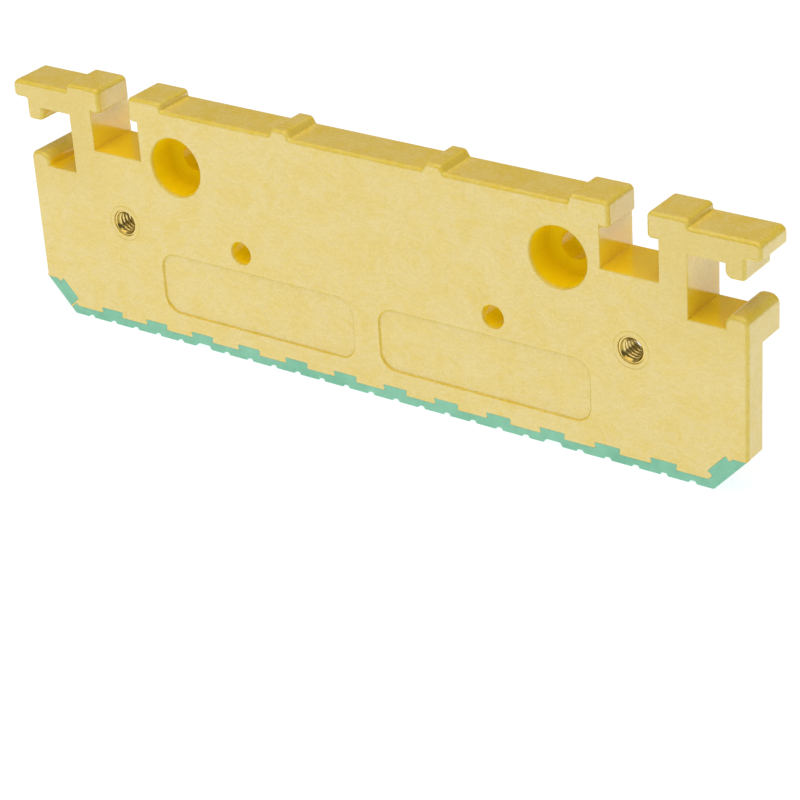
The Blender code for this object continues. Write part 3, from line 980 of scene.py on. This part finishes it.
def flow_marks(n, place):
    """Pale marks bent like a flow, thin threads and broad patches together,
    and the finer threads alone."""
    swirl = n.swirled(place, scale=70, reach=0.012)
    flow = n.stretched(swirl, (0.38, 1.0, 1.15), (0, 0.5, 0))
    threads = n.ridges(flow, scale=620, distortion=0.6)
    loose = n.ridges(flow, scale=300, distortion=1.0)
    marks = n.math("MAXIMUM", threads, n.times(loose, 0.8))
    spots = n.noise(swirl, scale=150, detail=3, roughness=0.6)
    patches = n.smooth(spots, 0.38, 0.62)
    return n.blend(marks, 0.22, patches, 0.20), threads


def shaded_head_fronts(n, place):
    """Painted shade mask: 1 on the fronts of the hanger heads and end posts,
    which are tinted darker there, 0 elsewhere.
    """
    x, _, z = n.axes(place)
    _, lean, _ = n.axes(n.coordinate("Normal"))
    outward = n.smooth(n.math("ABSOLUTE", x), *HEAD_SHADE_X)
    high = n.smooth(z, *HEAD_SHADE_Z)
    front = n.smooth(lean, *FACING_FRONT)
    return n.times(n.times(outward, high), front)


def shaded_rounded_edges(n):
    """Painted shade mask: 1 where the surface leans between the main directions,
    on the rounded edges that are tinted deeper yellow, 0 on the flats.
    """
    x, y, z = (n.math("ABSOLUTE", axis)
               for axis in n.axes(n.coordinate("Normal")))
    level = n.math("MAXIMUM", n.math("MAXIMUM", x, y), z)
    return n.smooth(level, *LEANING)


def sunken_shade_masks(n, place):
    """Two painted shade masks, deeper amber for shade and bounce light: 1 inside
    the bolt and pin holes, and 1 low in the notches and pockets.
    """
    x, y, z = n.axes(place)
    x = n.math("ABSOLUTE", x)
    start, end = BORE_DEPTH
    inside = n.times(n.smooth(y, FRONT + start, FRONT + end), not_back(n))
    start, end = SLOT_DEPTH
    behind_edge = n.smooth(y, FRONT + start, FRONT + end)
    bore_shade_mask = [n.times(round_hole(n, x, z, *hole), inside) for hole in (
        (BOLT_X, BOLT_Z, BOLT_HEAD_R), (PIN_HOLE_X, PIN_HOLE_Z, PIN_HOLE_R))]
    slot_shade_mask = [n.times(slot_floor(n, x, z, *slot), behind_edge) for slot in (
        (STEM_OUT_X, POST_X, NOTCH_Z), (BLOCK_X, STEM_IN_X, POCKET_Z))]
    return n.math("MAXIMUM", *bore_shade_mask), n.math("MAXIMUM", *slot_shade_mask)


def not_back(n):
    """0 on surfaces that look straight back, 1 on the others."""
    _, lean, _ = n.axes(n.coordinate("Normal"))
    none, full = FACING_BACK
    return n.smooth(lean, full, none)


def round_hole(n, x, z, hole_x, hole_z, radius):
    """Painted shade mask: 1 within a hole of this radius or just outside it."""
    start, end = BORE_MARGIN
    away = n.distance(n.math("SUBTRACT", x, hole_x),
                      n.math("SUBTRACT", z, hole_z))
    return n.smooth(away, radius + start, radius + end)


def slot_floor(n, x, z, low_x, high_x, floor_z):
    """Painted shade mask: 1 on the floor of a slot and low on its walls."""
    start, end = SLOT_MARGIN
    after = n.smooth(x, low_x - start, low_x - end)
    before = n.smooth(x, high_x + start, high_x + end)
    start, end = SLOT_RISE
    low = n.smooth(z, floor_z + start, floor_z + end)
    start, end = SLOT_FLOOR
    above = n.smooth(z, floor_z - start, floor_z - end)
    return n.times(n.times(n.times(after, before), low), above)


def rubber_material():
    """Soft matte green rubber with a fine moulded grain."""
    n = Nodes("green_rubber")
    place = n.coordinate("Object")
    broad = n.noise(place, scale=60, detail=4, roughness=0.6)
    spots = n.noise(place, scale=420, detail=3, roughness=0.6)
    fine = n.noise(place, scale=1800, detail=3, roughness=0.6)
    color = n.ramp(broad, [(0.3, GREEN_DEEP), (0.7, GREEN_LIGHT)])
    dust = n.line(spots, 0.30, 0.85)
    n.feed("Base Color", n.mix(1.0, color, dust, "MULTIPLY"))
    n.feed("Roughness", n.line(fine, 0.15, 0.55))
    n.bump(fine, strength=0.15, distance=0.0002)
    n.set("Specular IOR Level", 0.5)
    return n.material


def brass_material():
    """Machined brass with fine turning marks and random tarnish, with painted
    shade in the roots of the thread."""
    n = Nodes("brass")
    place = n.coordinate("Object")
    tarnish = n.noise(place, scale=400, detail=4, roughness=0.6)
    color = n.ramp(tarnish, [(0.35, BRASS_DEEP), (0.70, BRASS_LIGHT)])
    # painted shade: the roots of the thread are coloured dark
    color = n.mix(shaded_thread_roots(n, place), color, BRASS_ROOT_SHADE)
    n.feed("Base Color", color)
    n.set("Metallic", 1.0)
    n.feed("Roughness", n.line(tarnish, 0.12, 0.14))
    lathe = n.noise(n.stretched(place, (0.2, 40.0, 0.2)), scale=300, detail=2)
    n.bump(lathe, strength=0.03, distance=0.00005)
    return n.material


def shaded_thread_roots(n, place):
    """Painted shade mask: 1 in the roots of the thread, 0 on its crests and
    outside the bore.
    """
    x, _, z = n.axes(place)
    start, end = ROOT_MARGIN
    away = n.distance(n.math("SUBTRACT", n.math("ABSOLUTE", x), INSERT_X),
                      n.math("SUBTRACT", z, INSERT_Z))
    root = n.smooth(away, THREAD_MINOR + start, THREAD_MAJOR - end)
    return n.times(root, n.smooth(away, MOUTH_R, THREAD_MAJOR))


def floor_material():
    """Plain white studio floor that glows a little, so shadows stay faint."""
    n = Nodes("pale_floor")
    n.set("Base Color", FLOOR_GREY)
    n.set("Roughness", 0.9)
    n.set("Specular IOR Level", 0.0)
    n.set("Emission Color", FLOOR_GLOW)
    n.set("Emission Strength", FLOOR_GLOW_STRENGTH)
    return n.material


# ---- stage -------------------------------------------------------------------
def make_camera():
    """Camera turned by its three angles and set back from the aim."""
    data = bpy.data.cameras.new("camera")
    data.lens = LENS
    data.sensor_width = SENSOR
    data.clip_start, data.clip_end = CLIP
    camera = bpy.data.objects.new("camera", data)
    turn = (Matrix.Rotation(math.radians(AZIMUTH), 3, "Z")
            @ Matrix.Rotation(math.radians(90 - ELEVATION), 3, "X")
            @ Matrix.Rotation(math.radians(ROLL), 3, "Z"))
    camera.matrix_world = (Matrix.Translation(AIM + turn.col[2] * DISTANCE)
                           @ turn.to_4x4())
    bpy.context.scene.collection.objects.link(camera)
    bpy.context.scene.camera = camera


def area_light(name, azimuth, elevation, distance, size, power):
    """Round light at a distance from the aim, in metres and watts."""
    data = bpy.data.lights.new(name, "AREA")
    data.color = WARM
    data.shape = "DISK"
    data.size = size
    data.energy = power
    light = bpy.data.objects.new(name, data)
    az, el = math.radians(azimuth), math.radians(elevation)
    away = Vector((math.sin(az) * math.cos(el), -math.cos(az) * math.cos(el),
                   math.sin(el)))
    light.location = AIM + away * distance
    light.rotation_euler = away.to_track_quat("Z", "Y").to_euler()
    bpy.context.scene.collection.objects.link(light)


def make_floor():
    """Level floor that the leg stands on."""
    bm = bmesh.new()
    bmesh.ops.create_grid(bm, x_segments=1, y_segments=1, size=FLOOR_SIZE)
    floor = add_object("floor", bm)
    floor.data.materials.append(floor_material())


def make_lights():
    """A large soft light above and a small one that fills in from the left."""
    world = bpy.data.worlds.new("studio")
    world.use_nodes = True
    background = world.node_tree.nodes["Background"]
    background.inputs["Color"].default_value = (1, 1, 1, 1)
    background.inputs["Strength"].default_value = WORLD_STRENGTH
    bpy.context.scene.world = world
    area_light("key", 30, 76, distance=2.0, size=3.2, power=44)
    area_light("left", -55, 30, distance=0.42, size=0.4, power=0.13)
    bpy.context.scene.view_settings.view_transform = "Standard"


# ---- putting it together -----------------------------------------------------
def dress(piece, node, material):
    """Give a piece its material and have it stand for a node of the frame."""
    piece.data.materials.clear()
    piece.data.materials.append(material)
    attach(piece, "root")
    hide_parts(node)


def main():
    make_camera()
    make_floor()
    make_lights()
    plastic = plastic_material()
    rubber = rubber_material()
    brass = brass_material()
    dress(make_leg(), "leg_body", plastic)
    dress(make_strip(), "foot_strip", rubber)
    dress(make_pad(), "foot_corner_pad", rubber)
    dress(make_insert("insert_left", -INSERT_X), "threaded_insert_left",
          brass)
    dress(make_insert("insert_right", INSERT_X), "threaded_insert_right",
          brass)


main()
